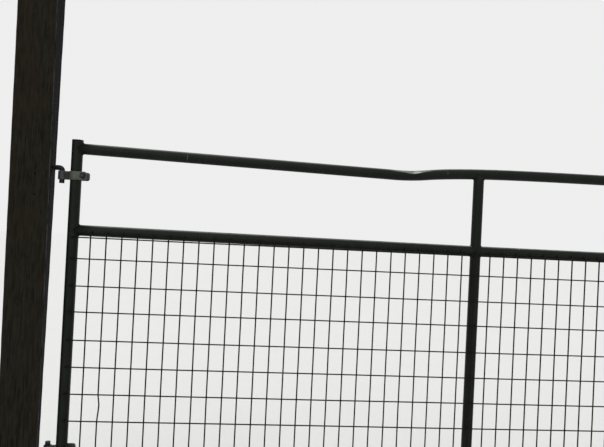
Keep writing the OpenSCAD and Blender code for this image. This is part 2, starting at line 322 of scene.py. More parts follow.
class Shape:
    """Vertices and faces that become one mesh piece."""

    def __init__(self):
        self.verts = []
        self.faces = []

    def loft(self, rings, closed=False):
        """Skin through rings that run anticlockwise about the way they go, with ends unless closed."""
        start, n, m = len(self.verts), len(rings[0]), len(rings)
        for ring in rings:
            self.verts.extend(ring)
        for i in range(m if closed else m - 1):
            a, b = start + i * n, start + (i + 1) % m * n
            for k in range(n):
                self.faces.append((a + k, a + (k + 1) % n, b + (k + 1) % n, b + k))
        if not closed:
            self.faces.append(tuple(start + k for k in reversed(range(n))))
            self.faces.append(tuple(start + (m - 1) * n + k for k in range(n)))

    def bead(self, path, radii, sides):
        """Round bar along a closed path, with a radius for each point."""
        count = len(path)
        side = None
        rings = []
        for i, p in enumerate(path):
            way = (path[(i + 1) % count] - path[i - 1]).normalized()
            if side is None:
                side = way.orthogonal().normalized()
            side = (side - way * side.dot(way)).normalized()
            up = way.cross(side)
            rings.append([p + (side * math.cos(a) + up * math.sin(a)) * radii[i] for a in around(sides)])
        self.loft(rings, closed=True)

    def blob(self, at, half, sides, rows):
        """Rounded lump with half sizes along X, Y and Z."""
        rings = []
        for i in range(rows):
            tilt = math.pi * ((i + 0.5) / rows - 0.5)
            wide, deep = half[X] * math.cos(tilt), half[Y] * math.cos(tilt)
            tall = half[Z] * math.sin(tilt)
            ring = [Vector((wide * math.cos(a), deep * math.sin(a), tall)) for a in around(sides)]
            rings.append([at + p for p in ring])
        self.loft(rings)

    def piece(self, name, body, material, replaces=(), sharp=None):
        """Turns the shape into a named object that rides on a body."""
        mesh = bpy.data.meshes.new(name)
        mesh.from_pydata([tuple(v) for v in self.verts], [], self.faces)
        mesh.update()
        mesh.materials.append(material)
        mesh.shade_smooth()
        if sharp:
            mesh.set_sharp_from_angle(angle=math.radians(sharp))
        obj = bpy.data.objects.new(name, mesh)
        bpy.context.scene.collection.objects.link(obj)
        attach(obj, body)
        if replaces:
            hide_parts(*replaces)
        return obj


# Materials


class Finish:
    """A material that is built from nodes, in the coordinates of the piece."""

    def __init__(self, name):
        self.material = bpy.data.materials.new(name)
        self.material.use_nodes = True
        self.tree = self.material.node_tree
        self.tree.nodes.clear()
        self.shader = self.node("ShaderNodeBsdfPrincipled")
        self.link(self.shader.outputs["BSDF"], self.node("ShaderNodeOutputMaterial").inputs["Surface"])
        self.coords = self.node("ShaderNodeTexCoord")

    def node(self, kind, **values):
        """A new node with some of its values set."""
        made = self.tree.nodes.new(kind)
        for key, value in values.items():
            setattr(made, key, value)
        return made

    def link(self, a, b):
        """Joins an output to an input."""
        self.tree.links.new(a, b)

    def put(self, socket, value):
        """Links an output to a socket, or sets a plain value on it."""
        if isinstance(value, bpy.types.NodeSocket):
            self.link(value, socket)
        else:
            socket.default_value = value

    def noise(self, scale, detail=3, rough=0.55, stretch=(1, 1, 1)):
        """Cloudy noise, with lower stretch values drawing it out along an axis."""
        mapping = self.node("ShaderNodeMapping")
        self.link(self.coords.outputs["Object"], mapping.inputs["Vector"])
        mapping.inputs["Scale"].default_value = stretch
        made = self.node("ShaderNodeTexNoise")
        self.link(mapping.outputs["Vector"], made.inputs["Vector"])
        made.inputs["Scale"].default_value = scale
        made.inputs["Detail"].default_value = detail
        made.inputs["Roughness"].default_value = rough
        return made.outputs["Fac"]

    def ramp(self, value, low, high, flip=False):
        """0 below low and 1 above high, or the other way round."""
        made = self.node("ShaderNodeMapRange", interpolation_type="SMOOTHSTEP")
        self.put(made.inputs["Value"], value)
        made.inputs["From Min"].default_value = low
        made.inputs["From Max"].default_value = high
        made.inputs["To Min"].default_value = 1 if flip else 0
        made.inputs["To Max"].default_value = 0 if flip else 1
        return made.outputs["Result"]

    def math(self, operation, a, b):
        """Result of an operation on two values."""
        made = self.node("ShaderNodeMath", operation=operation)
        self.put(made.inputs[0], a)
        self.put(made.inputs[1], b)
        return made.outputs["Value"]

    def times(self, a, b):
        """Product of two values."""
        return self.math("MULTIPLY", a, b)

    def plus(self, a, b):
        """Sum of two values."""
        return self.math("ADD", a, b)

    def mix(self, share, a, b):
        """Colour a where share is 0 and colour b where it is 1."""
        made = self.node("ShaderNodeMix", data_type="RGBA")
        self.put(made.inputs["Factor"], share)
        self.put(made.inputs["A"], (*a, 1) if isinstance(a, tuple) else a)
        self.put(made.inputs["B"], (*b, 1) if isinstance(b, tuple) else b)
        return made.outputs["Result"]

    def part(self, output, axis):
        """One axis of a vector from the texture coordinates."""
        parts = self.node("ShaderNodeSeparateXYZ")
        self.link(self.coords.outputs[output], parts.inputs["Vector"])
        return parts.outputs[axis]

    def facing(self, axis):
        """How far the surface faces along an axis of the piece."""
        return self.part("Normal", axis)

    def place(self, axis):
        """Place along an axis of the piece, in metres."""
        return self.part("Object", axis)

    def near(self, point, low, high):
        """1 within low of a point, falling to 0 at high."""
        made = self.node("ShaderNodeVectorMath", operation="DISTANCE")
        self.link(self.coords.outputs["Object"], made.inputs[0])
        made.inputs[1].default_value = point
        return self.ramp(made.outputs["Value"], low, high, flip=True)

    def spot(self, point, half):
        """1 in the middle of an oval spot with the given half sizes, falling to 0 at its edge."""
        away = self.node("ShaderNodeVectorMath", operation="SUBTRACT")
        self.link(self.coords.outputs["Object"], away.inputs[0])
        away.inputs[1].default_value = point
        share = self.node("ShaderNodeVectorMath", operation="DIVIDE")
        self.link(away.outputs["Vector"], share.inputs[0])
        share.inputs[1].default_value = half
        length = self.node("ShaderNodeVectorMath", operation="LENGTH")
        self.link(share.outputs["Vector"], length.inputs[0])
        return self.ramp(length.outputs["Value"], 0.5, 1, flip=True)

    def bump(self, height, depth, before=None):
        """Normal that is roughened by a height, on top of an earlier one."""
        made = self.node("ShaderNodeBump")
        made.inputs["Distance"].default_value = depth
        self.link(height, made.inputs["Height"])
        if before:
            self.link(before, made.inputs["Normal"])
        return made.outputs["Normal"]

    def finish(self, color, rough, normal, metallic=0.0, specular=0.5):
        """Puts the looks on the shader and gives the material."""
        self.put(self.shader.inputs["Base Color"], color)
        self.put(self.shader.inputs["Roughness"], rough)
        self.link(normal, self.shader.inputs["Normal"])
        self.shader.inputs["Metallic"].default_value = metallic
        self.shader.inputs["Specular IOR Level"].default_value = specular
        return self.material


def linear(value):
    """Linear share of a screen value from 0 to 255."""
    if value > 10:
        return ((value / 255 + 0.055) / 1.055) ** 2.4
    return value / 255 / 12.92


def tone(red, green, blue):
    """Linear colour of a screen colour from 0 to 255."""
    return linear(red), linear(green), linear(blue)


# Marks on the rails: place, half sizes and colour
RAIL_MARKS = (
    ((0.5713, -0.0206, 1.4233), (0.003, 0.014, 0.019), tone(66, 70, 69)),
    ((1.5956, -0.0206, 1.4221), (0.0028, 0.014, 0.008), tone(72, 74, 70)),
    ((1.9076, -0.008, 1.1354), (0.006, 0.016, 0.008), tone(124, 121, 108)),
)

# Rubbed bare places on the top rail's crease, with a painted highlight on them: place, half sizes and colour
RUBBED_AND_HIGHLIGHT = (
    ((1.4580, -0.008, 1.4165), (0.105, 0.026, 0.026), tone(112, 118, 112)),
    ((1.4760, -0.008, 1.4145), (0.022, 0.020, 0.018), tone(168, 173, 165)),
)

# Nail holes in the hinge post's near face, drawn as dark spots of painted shade: their middles, and the
# radii of the hole and of its soft edge
NAIL_HOLE_SHADES = ((0.0294, -0.0655, 1.325), (0.03, -0.0655, 1.249))
NAIL_R = 0.002
NAIL_EDGE = 0.0055


def tube_paint(name="tube_paint", marks=(), top_wear_and_highlight=(0.74, 0.93), pale_highlight=()):
    """Near-black gate paint with a green cast, pale where it faces up from dust and a painted highlight,
    with small chips.
    """
    f = Finish(name)
    cloudy = f.ramp(f.noise(9, 4), 0.3, 0.7)
    color = f.mix(cloudy, tone(12, 16, 12), tone(19, 24, 19))
    streak = f.ramp(f.noise(55, 3, 0.6, (1, 1, 0.25)), 0.52, 0.75)
    color = f.mix(f.times(streak, 0.3), color, tone(36, 38, 32))
    # pale band where the tube faces up: partly dust, partly a painted highlight of light from above
    worn = f.times(f.ramp(f.facing("Z"), *top_wear_and_highlight), f.ramp(f.noise(38, 4), 0.2, 0.55))
    color = f.mix(f.times(worn, 0.85), color, tone(120, 125, 119))
    chip = f.ramp(f.noise(140, 2, 0.5), 0.71, 0.735)
    color = f.mix(chip, color, tone(58, 44, 33))
    if marks:
        patchy = f.ramp(f.noise(300, 3), 0.35, 0.55)
        for place, half, shade in marks:
            color = f.mix(f.times(f.spot(place, half), patchy), color, shade)
    # rubbed bare metal on the crease's upward faces, brightened into a painted highlight
    if pale_highlight:
        upward = f.ramp(f.facing("Z"), 0.45, 0.75)
        scratched = f.ramp(f.noise(95, 4, 0.65, (0.4, 1, 1)), 0.28, 0.5)
        for place, half, shade in pale_highlight:
            share = f.times(f.times(f.spot(place, half), upward), scratched)
            color = f.mix(share, color, shade)
    rough = f.plus(f.times(cloudy, 0.12), 0.4)
    rough = f.plus(rough, f.times(worn, 0.25))
    normal = f.bump(f.noise(420, 2), 0.0002)
    normal = f.bump(f.math("SUBTRACT", 1, chip), 0.0003, normal)
    return f.finish(color, rough, normal, specular=0.13)


def mesh_wire():
    """Brown-black drawn wire with a little rust."""
    f = Finish("mesh_wire")
    rust = f.ramp(f.noise(26, 4, 0.6), 0.42, 0.66)
    color = f.mix(rust, tone(16, 14, 12), tone(29, 22, 17))
    speck = f.ramp(f.noise(330, 2), 0.55, 0.7)
    color = f.mix(f.times(speck, 0.4), color, tone(12, 11, 10))
    rough = f.plus(f.times(rust, 0.25), 0.55)
    normal = f.bump(f.noise(700, 3), 0.00015)
    return f.finish(color, rough, normal, specular=0.1)


def weld_steel():
    """Painted-over weld metal, a little rusty."""
    f = Finish("weld_steel")
    rust = f.ramp(f.noise(90, 3), 0.5, 0.7)
    color = f.mix(rust, tone(15, 17, 13), tone(30, 27, 22))
    rough = f.plus(f.times(rust, 0.25), 0.45)
    normal = f.bump(f.noise(650, 3), 0.0003)
    return f.finish(color, rough, normal, specular=0.15)


def strap_steel():
    """Dull galvanised strap: bluer at the eye, with painted shade in the neck, and a faint spangle."""
    f = Finish("strap_steel")
    cells = f.node("ShaderNodeTexVoronoi")
    f.link(f.coords.outputs["Object"], cells.inputs["Vector"])
    cells.inputs["Scale"].default_value = 230
    spangle = f.ramp(cells.outputs["Distance"], 0.1, 0.8)
    color = f.mix(spangle, tone(64, 70, 62), tone(82, 87, 78))
    along = f.place("X")
    eye = f.ramp(along, PIN_X + 0.011, PIN_X + 0.017, flip=True)
    color = f.mix(f.times(eye, 0.8), color, tone(62, 64, 70))
    # painted shade where the strap bends in behind the stile to the neck
    past_eye = f.ramp(along, PIN_X + 0.012, PIN_X + 0.017)
    before_stile = f.ramp(along, PIN_X + 0.025, PIN_X + 0.033, flip=True)
    neck_shade = f.times(past_eye, before_stile)
    color = f.mix(f.times(neck_shade, 0.85), color, tone(27, 28, 23))
    stain = f.ramp(f.noise(60, 4, 0.6), 0.45, 0.7)
    color = f.mix(f.times(stain, 0.5), color, tone(48, 48, 42))
    rough = f.plus(f.times(stain, 0.2), 0.5)
    normal = f.bump(f.noise(500, 3), 0.0001)
    return f.finish(color, rough, normal, metallic=0.2, specular=0.3)


def bolt_steel(name, dark, light):
    """Bolt or nut steel, brighter where a spanner or thread has worn it."""
    f = Finish(name)
    worn = f.ramp(f.noise(240, 3), 0.5, 0.68)
    color = f.mix(worn, dark, light)
    rough = f.plus(f.times(worn, -0.15), 0.6)
    normal = f.bump(f.noise(800, 3), 0.0001)
    return f.finish(color, rough, normal, metallic=0.3, specular=0.25)


def hook_steel():
    """Darkened hook, bluish, with rust in patches."""
    f = Finish("hook_steel")
    rust = f.ramp(f.noise(110, 4, 0.6), 0.5, 0.72)
    color = f.mix(rust, tone(24, 26, 35), tone(42, 34, 29))
    rough = f.plus(f.times(rust, 0.3), 0.5)
    normal = f.bump(f.noise(600, 3), 0.0002)
    return f.finish(color, rough, normal, metallic=0.2, specular=0.25)


def post_timber(name="post_timber", worn=0.0):
    """Rough sawn timber, weathered nearly black and mottled, with painted shade on its side that faces along
    X; worn is how strong a pale painted highlight is.
    """
    f = Finish(name)
    grain = f.noise(250, 5, 0.65, (1, 1, 0.04))
    mottle = f.noise(75, 4, 0.65, (1, 1, 0.3))
    color = f.mix(f.ramp(grain, 0.33, 0.68), tone(19, 20, 15), tone(40, 38, 31))
    color = f.mix(f.times(f.ramp(mottle, 0.42, 0.66), 0.5), color, tone(44, 41, 33))
    brown = f.ramp(f.noise(6, 3, 0.5, (1, 1, 0.5)), 0.48, 0.68)
    color = f.mix(f.times(brown, 0.4), color, tone(43, 33, 26))
    # painted shade: the side that faces along X is darkened
    side = f.ramp(f.facing("X"), 0.6, 0.95)
    color = f.mix(f.times(side, 0.85), color, tone(14, 13, 15))
    # painted highlight along the corners, pale and lilac
    if worn:
        pale_highlight = f.times(f.ramp(f.noise(40, 3, 0.6, (1, 1, 0.3)), 0.35, 0.6), worn)
        color = f.mix(pale_highlight, color, tone(76, 72, 76))
    # painted shade at the nail holes
    for hole_shade in NAIL_HOLE_SHADES:
        color = f.mix(f.near(hole_shade, NAIL_R, NAIL_EDGE), color, tone(7, 6, 6))
    rough = f.plus(f.times(grain, 0.15), 0.8)
    normal = f.bump(grain, 0.0006)
    normal = f.bump(mottle, 0.0008, normal)
    return f.finish(color, rough, normal, specular=0.05)


# Tubes and their welds


def tube_ring(x, z, sides):
    """Section of a level tube."""
    return [Vector((x, TUBE_R * math.cos(a), z + TUBE_R * math.sin(a))) for a in around(sides)]


def creased_ring(x, z, sides, deep):
    """Section of a level tube with a hollow facet whose front lip lies deep below the tube's top."""
    if deep < LEAST_DENT:
        return tube_ring(x, z, sides)
    r, far = TUBE_R, FAR_RIM * deep
    lip = Vector((-math.sqrt(r * r - (r - deep) ** 2), r - deep))
    rim = Vector((math.sqrt(r * r - (r - far) ** 2), r - far))
    length = (rim - lip).length
    along = (rim - lip) / length
    out = Vector((-along.y, along.x))
    ring = []
    for a in around(sides):
        p = Vector((r * math.cos(a), r * math.sin(a)))
        past = (p - lip).dot(out)
        if past > 0:
            share = min(1, max(0, (p - lip).dot(along) / length))
            p -= out * (past + 4 * CREASE_HOLLOW * deep * share * (1 - share))
        ring.append(Vector((x, p.x * (1 + CREASE_SPREAD * deep / r), z + p.y)))
    return ring


def dent(x):
    """Depth of the dent's front lip at x."""
    run = x - HINGE_STILE_X - CREASE_X
    half = CREASE_HALF_LEFT if run < 0 else CREASE_HALF
    return CREASE_DEPTH * max(0, 1 - math.hypot(run, CREASE_TIP) / half) ** CREASE_POINT


def top_rail(paint):
    """Top rail, bent down and creased where something heavy met it."""
    crease = HINGE_STILE_X + CREASE_X
    sprung = crease + SPRING_REACH * SPRING
    stops = steps(RAIL_ENDS[LOW], crease - CREASE_HALF, STRAIGHT_STEPS)[:-1]
    stops += steps(crease - CREASE_HALF, crease + CREASE_HALF, CREASE_STEPS)[:-1]
    stops += steps(crease + CREASE_HALF, sprung, SPRING_STEPS)[:-1]
    stops += steps(sprung, RAIL_ENDS[HIGH], FAR_STEPS)
    shape = Shape()
    shape.loft([creased_ring(x, top_rail_z(x), CREASED_SIDES, dent(x)) for x in stops])
    shape.piece("creased_top_rail", "gate", paint, ["top_rail"])


def second_rail(paint):
    """Second rail, a little lower between the braces than at the stiles."""
    stops = steps(RAIL_ENDS[LOW], BRACES_X[0], STRAIGHT_STEPS)[:-1]
    stops += steps(BRACES_X[0], BRACES_X[1], MIDDLE_STEPS)[:-1]
    stops += steps(BRACES_X[1], RAIL_ENDS[HIGH], STRAIGHT_STEPS)
    shape = Shape()
    shape.loft([tube_ring(x, second_rail_z(x), RAIL_SIDES) for x in stops])
    shape.piece("sagging_second_rail", "gate", paint, ["second_rail"])


def saddle_bead(shape, at, branch, run, seed):
    """Weld bead round the end of one tube where it meets another; branch and run are their ways."""
    random.seed(seed)
    side = run.cross(branch)
    path, radii = [], []
    start = random.uniform(*WAVE_STARTS)
    for i, a in enumerate(around(BEAD_POINTS)):
        out = TUBE_R * math.sqrt(math.sin(a) ** 2 + BEAD_ROUND) + BEAD_LIFT
        path.append(at + branch * out + (side * math.cos(a) + run * math.sin(a)) * TUBE_R)
        ripple = BEAD_RIPPLE * math.sin(i * RIPPLE_STEP + start)
        swell = BEAD_SWELL * math.sin(i * SWELL_STEP + start)
        radii.append(BEAD_R + ripple + swell)
    shape.bead(path, radii, BEAD_SIDES)


def cap_bead(shape, x, z):
    """Weld bead round the plate that closes a stile's end."""
    r = TUBE_R - CAP_INSET
    path = [Vector((x + r * math.cos(a), r * math.sin(a), z)) for a in around(CAP_POINTS)]
    radii = [CAP_BEAD_R + CAP_RIPPLE * math.sin(k * CAP_STEP) for k in range(CAP_POINTS)]
    shape.bead(path, radii, BEAD_SIDES)


def frame_welds(weld):
    """Weld beads of the stiles and of the braces."""
    ahead, back = Vector((1, 0, 0)), Vector((-1, 0, 0))
    up, down = Vector((0, 0, 1)), Vector((0, 0, -1))
    for name, x, way in (("hinge_stile", HINGE_STILE_X, ahead), ("latch_stile", LATCH_STILE_X, back)):
        shape = Shape()
        for i, z in enumerate((TOP_Z, SECOND_Z, BOTTOM_Z)):
            saddle_bead(shape, Vector((x, 0, z)), way, up, i)
        for z in (STILE_TOP, STILE_LOW):
            cap_bead(shape, x, z)
        shape.piece(f"{name}_welds", "gate", weld)
    for i, x in enumerate(BRACES_X):
        shape = Shape()
        saddle_bead(shape, Vector((x, 0, top_rail_z(x))), down, ahead, 10 + i)
        saddle_bead(shape, Vector((x, 0, second_rail_z(x))), up, ahead, 20 + i)
        saddle_bead(shape, Vector((x, 0, second_rail_z(x))), down, ahead, 30 + i)
        saddle_bead(shape, Vector((x, 0, BOTTOM_Z)), up, ahead, 40 + i)
        shape.piece(f"brace_{i + 1}_welds", "gate", weld)


# Wires


def wire_drift(i, z):
    """Small sideways wander of upright wire i at height z, with the bent one's bulge."""
    apart, waves, layer = UPRIGHT_NOISE
    drift = UPRIGHT_WANDER * noise.noise(Vector((i * apart, z * waves, layer)))
    if i == BENT_WIRE:
        low, high = level_z(BENT_BELOW + 1), level_z(BENT_BELOW)
        share = (z - low) / (high - low)
        for (u1, b1), (u2, b2) in zip(BULGE, BULGE[1:]):
            if u1 <= share <= u2:
                drift += BENT_OUT * (b1 + (b2 - b1) * (share - u1) / (u2 - u1))
    return drift


def level_drift(i, x):
    """Small up and down wander of level wire i at x."""
    apart, waves, layer = LEVEL_NOISE
    return LEVEL_WANDER * noise.noise(Vector((x * waves, i * apart, layer)))


def wire_ring(at, axis, r):
    """Section of a wire that runs along X or along Z."""
    ring = []
    for a in around(WIRE_SIDES):
        c, s = r * math.cos(a), r * math.sin(a)
        ring.append(at + (Vector((0, c, s)) if axis == X else Vector((c, s, 0))))
    return ring


def upright_wire(shape, i):
    """Upright wire i, from the bottom rail to the second rail."""
    x = wire_x(i)
    heights = steps(BOTTOM_Z, second_rail_z(x), BENT_STEPS if i == BENT_WIRE else UPRIGHT_STEPS)
    shape.loft([wire_ring(Vector((x + wire_drift(i, z), UPRIGHT_Y, z)), Z, UPRIGHT_D / 2) for z in heights])


def level_start(i):
    """Start of level wire i, short of a hinge strap at its own height."""
    off = min(abs(level_z(i) - z) for z in HINGES_Z.values())
    if off < (STRAP_H + LEVEL_D) / 2 + STRAP_CLEAR:
        return HINGE_STILE_X + STRAP_REACH + STRAP_CLEAR
    return HINGE_STILE_X


def level_wire(shape, i, x1, x2):
    """Level wire i, from x1 to x2."""
    start = max(x1, level_start(i))
    stops = steps(start, x2, max(1, round((x2 - start) / LEVEL_WIRE_STEP)))
    middles = [Vector((x, LEVEL_Y, level_z(i) + level_drift(i, x))) for x in stops]
    shape.loft([wire_ring(at, X, LEVEL_D / 2) for at in middles])


def mesh_bay(name, first, last, x1, x2, wire):
    """One bay's wires, with a small lump of weld at each crossing."""
    shape = Shape()
    for i in range(first, last + 1):
        upright_wire(shape, i)
    for j in range(LEVELS):
        level_wire(shape, j, x1, x2)
        for i in range(first, last + 1):
            x, z = wire_x(i), level_z(j)
            at = Vector((x + wire_drift(i, z), (LEVEL_Y + UPRIGHT_Y) / 2, z + level_drift(j, x)))
            shape.blob(at, CROSSING_HALF, *CROSSING_MESH)
    shape.piece(f"round_wires_{name}", "gate", wire, [f"mesh_{name}_bay"])


def wire_welds(name, first, last, tubes, weld):
    """Spot welds that hold a bay's wires to the rails and uprights round it."""
    shape = Shape()
    random.seed(name)
    for i in range(first, last + 1):
        x = wire_x(i)
        for z, way in ((second_rail_z(x), -1), (BOTTOM_Z, 1)):
            half = (random.uniform(*RAIL_SPOT_WIDE), RAIL_SPOT_DEEP, random.uniform(*RAIL_SPOT_TALL))
            shift = random.uniform(-RAIL_SPOT_SHIFT, RAIL_SPOT_SHIFT)
            at = Vector((x + shift, -TUBE_R - RAIL_SPOT_OUT, z + way * RAIL_SPOT_IN_BAY))
            shape.blob(at, half, *SPOT_MESH)
    for x, way in tubes:
        for j in range(LEVELS):
            if way > 0 and level_start(j) > HINGE_STILE_X:
                continue
            half = (random.uniform(*TUBE_SPOT_WIDE), TUBE_SPOT_DEEP, random.uniform(*TUBE_SPOT_TALL))
            z = level_z(j) + level_drift(j, x)
            at = Vector((x + way * TUBE_SPOT_IN_BAY, -TUBE_R - TUBE_SPOT_OUT, z))
            shape.blob(at, half, *SPOT_MESH)
    shape.piece(f"wire_welds_{name}", "gate", weld)


def wires(wire, weld):
    """The three bays of welded wires, and what holds them."""
    join_1 = wire_x(OUTER_SPACES + 0.5)
    join_2 = wire_x(OUTER_SPACES + MIDDLE_SPACES - 0.5)
    last_middle = LAST_WIRE - OUTER_SPACES - 1
    mesh_bay("hinge", 0, OUTER_SPACES, HINGE_STILE_X, join_1, wire)
    mesh_bay("middle", OUTER_SPACES + 1, last_middle, join_1, join_2, wire)
    mesh_bay("latch", last_middle + 1, LAST_WIRE, join_2, LATCH_STILE_X, wire)
    wire_welds("hinge", 0, OUTER_SPACES, ((HINGE_STILE_X, 1), (BRACES_X[0], 0)), weld)
    wire_welds("middle", OUTER_SPACES + 1, last_middle, (), weld)
    wire_welds("latch", last_middle + 1, LAST_WIRE, ((BRACES_X[1], 0), (LATCH_STILE_X, -1)), weld)


# Hinges


def arc(cx, cy, r, start, end, count):
    """Points of an arc in plan, from start to end in degrees."""
    return [Vector((cx + r * math.cos(math.radians(a)), cy + r * math.sin(math.radians(a))))
            for a in steps(start, end, count)]


def strap_path():
    """Middle line of the bent strap in plan, from the near flat end round the pin to the far one."""
    eye, collar = EYE_R + STRAP_T / 2, COLLAR_R + STRAP_T / 2
    leg = STRAP_T / 2 + LEG_GAP
    neck_x = HINGE_STILE_X - math.sqrt((collar + NECK_FILLET) ** 2 - (leg + NECK_FILLET) ** 2)
    eye_x = PIN_X + math.sqrt((eye + EYE_FILLET) ** 2 - (leg + EYE_FILLET) ** 2)
    neck_angle = math.degrees(math.asin((leg + NECK_FILLET) / (collar + NECK_FILLET)))
    eye_angle = math.degrees(math.asin((leg + EYE_FILLET) / (eye + EYE_FILLET)))
    end = HINGE_STILE_X + STRAP_REACH - STRAP_PULL_IN
    half = [Vector((x, -collar)) for x in steps(end, HINGE_STILE_X, LEG_STEPS)[:-1]]
    half += arc(HINGE_STILE_X, 0, collar, -90, -180 + neck_angle, COLLAR_STEPS)
    half += arc(neck_x, -leg - NECK_FILLET, NECK_FILLET, neck_angle, 90, FILLET_STEPS)[1:]
    half += arc(eye_x, -leg - EYE_FILLET, EYE_FILLET, 90, 180 - eye_angle, FILLET_STEPS)
    half += arc(PIN_X, 0, eye, -eye_angle, -180, EYE_STEPS)[1:]
    return half + [Vector((p.x, -p.y)) for p in reversed(half[:-1])]


def strap_section(tall):
    """Rounded rectangle of the strap's bar, tall being half its height."""
    wide, r = STRAP_T / 2, min(STRAP_EDGE, tall * STRAP_EDGE_MOST)
    corners = ((wide - r, tall - r, 0), (r - wide, tall - r, 90),
               (r - wide, r - tall, 180), (wide - r, r - tall, 270))
    return [(u + r * math.cos(math.radians(a + s)), v + r * math.sin(math.radians(a + s)))
            for u, v, a in corners for s in STRAP_EDGE_ANGLES]


def strap(name, steel):
    """Strap bent round the hook's pin and back along both sides of the stile, its ends' corners rounded."""
    z, path = HINGES_Z[name], strap_path()
    far = HINGE_STILE_X + STRAP_REACH
    rings = []
    for i, p in enumerate(path):
        way = (path[min(i + 1, len(path) - 1)] - path[max(i - 1, 0)]).normalized()
        off = max(0, STRAP_CORNER - (far - p.x)) if abs(p.y) > COLLAR_R else 0
        tall = STRAP_H / 2 - STRAP_CORNER + math.sqrt(STRAP_CORNER ** 2 - off ** 2)
        rings.append([Vector((p.x - way.y * u, p.y + way.x * u, z + v)) for u, v in strap_section(tall)])
    shape = Shape()
    shape.loft(rings)
    shape.piece(f"{name}_bent_strap", "gate", steel, [f"{name}_strap"], sharp=40)


def hexagon(a):
    """Distance from middle to edge of a hexagon at angle a, in shares of its half width."""
    sixth = math.pi / 3
    return 1 / math.cos((a + sixth / 2) % sixth - sixth / 2)


def hex_rings(x, z, y1, y2, chamfers):
    """Sections of a hexagon bar from y1 to y2, with the chamfered ones of its ends rounded off."""
    way = math.copysign(CHAMFER, y2 - y1)
    stops = [(y1 + way * share, share, chamfers[0]) for share in (0, 0.5, 1)]
    stops += [(y2 - way * share, share, chamfers[1]) for share in (1, 0.5, 0)]
    rings = []
    for y, share, rounded in stops:
        cone = CHAMFER_START + share * CHAMFER_GROWTH if rounded else UNROUNDED
        radii = [(a, FLATS / 2 * min(hexagon(a), cone)) for a in around(HEX_SIDES)]
        rings.append([Vector((x + r * math.cos(a), y, z + r * math.sin(a))) for a, r in radii])
    return rings


def nut(name, steel):
    """Nut on the near side of a hinge."""
    shape = Shape()
    shape.loft(hex_rings(BOLT_X, HINGES_Z[name], FACE_Y, FACE_Y - NUT_H, (True, True)))
    shape.piece(f"{name}_chamfered_nut", "gate", steel, [f"{name}_nut"], sharp=35)


def bolt(name, steel):
    """Bolt with its hexagon head behind and its threaded end past the nut."""
    z = HINGES_Z[name]
    head_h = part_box(f"{name}_bolt")[HIGH][Y] + FACE_Y
    shape = Shape()
    shape.loft(list(reversed(hex_rings(BOLT_X, z, -FACE_Y, -FACE_Y + head_h, (False, True)))))
    in_head, before_nut = -FACE_Y + BOLT_IN_HEAD, FACE_Y + BOLT_BEFORE_NUT
    end = FACE_Y - NUT_H - BOLT_PAST
    rings = []
    for y in [in_head, before_nut] + steps(FACE_Y, end, THREAD_STEPS):
        ring = []
        for a in around(BOLT_SIDES):
            turn = (y / THREAD_PITCH + a / (2 * math.pi)) % 1
            groove = THREAD_DEPTH * abs(2 * turn - 1) if y <= FACE_Y else 0
            tip = max(0, BOLT_TIP - (y - end)) * BOLT_TIP_SLOPE
            r = BOLT_D / 2 - groove - tip
            ring.append(Vector((BOLT_X + r * math.cos(a), y, z + r * math.sin(a))))
        rings.append(ring)
    shape.loft(rings)
    shape.piece(f"{name}_threaded_bolt", "gate", steel, [f"{name}_bolt"], sharp=35)


# Posts


def post_turn(z, hand):
    """Turn of a post at height z, as a matrix in plan."""
    return Matrix.Rotation(hand * math.radians(POST_TURN - POST_TWIST * z / POST_H), 2)


def post_outline():
    """Places round a post's section: the side, how far along it, and the angle round a corner or 0."""
    flat = POST_W / 2 - ARRIS
    outline = []
    for side in range(4):
        for u in steps(-flat, flat, POST_COLUMNS):
            outline.append((side, u, 0))
        for k in range(1, CORNER_STEPS):
            outline.append((side, flat, 90 * k / CORNER_STEPS))
    return outline


def make_checks(seed):
    """Drying cracks: side, place across it, lowest and highest point, half width and depth."""
    random.seed(seed)
    checks = []
    for side in range(4):
        for _ in range(CRACKS):
            low = random.uniform(*CRACK_LOW)
            checks.append((side, random.uniform(*CRACK_PLACE), low, low + random.uniform(*CRACK_LENGTH),
                           random.uniform(*CRACK_HALF), random.uniform(*CRACK_DEPTH)))
    return checks


def cut_depth(side, u, z, checks, seed):
    """Depth of the rough surface below the sawn face."""
    deep, across, along, shift = FIBRE
    depth = deep * (1 + noise.noise(Vector((u * across + side * shift, z * along, seed))))
    deep, across, along, shift = HOLLOW
    depth += deep * (1 + noise.noise(Vector((u * across, z * along + side * shift, seed + HOLLOW_SEED))))
    depth += SAW_DEPTH * (1 + math.sin(z * 2 * math.pi / SAW_PITCH + SAW_SLANT * u / POST_W))
    for own, place, low, high, half, deep in checks:
        if own == side and low < z < high:
            path = place + CRACK_WANDER * noise.noise(Vector((z * CRACK_WAVES, place * CRACK_APART, seed)))
            share = math.sin(math.pi * (z - low) / (high - low)) ** 0.5
            depth += deep * share * math.exp(-((u - path) / half) ** 2)
    return depth


def post_point(spot, z, checks, seed):
    """Place of a point of the outline before the post is turned."""
    side, u, angle = spot
    half = POST_W / 2
    cut = cut_depth(side, u, z, checks, seed)
    if angle:
        a = math.radians(angle)
        flat, r = half - ARRIS, ARRIS - cut
        local = Vector((flat + r * math.cos(a), flat + r * math.sin(a)))
    else:
        local = Vector((half - cut, u))
    return Matrix.Rotation(side * math.pi / 2, 2) @ local


def post_sides(x, hand, seed, outline, checks):
    """Rings up the post, with its twist, saw marks and cracks."""
    rings = []
    for z in steps(0, POST_H - TOP_EDGE, POST_ROWS):
        turn = post_turn(z, hand)
        points = [turn @ post_point(spot, z, checks, seed) for spot in outline]
        rings.append([Vector((x + p.x, p.y, z)) for p in points])
    return rings


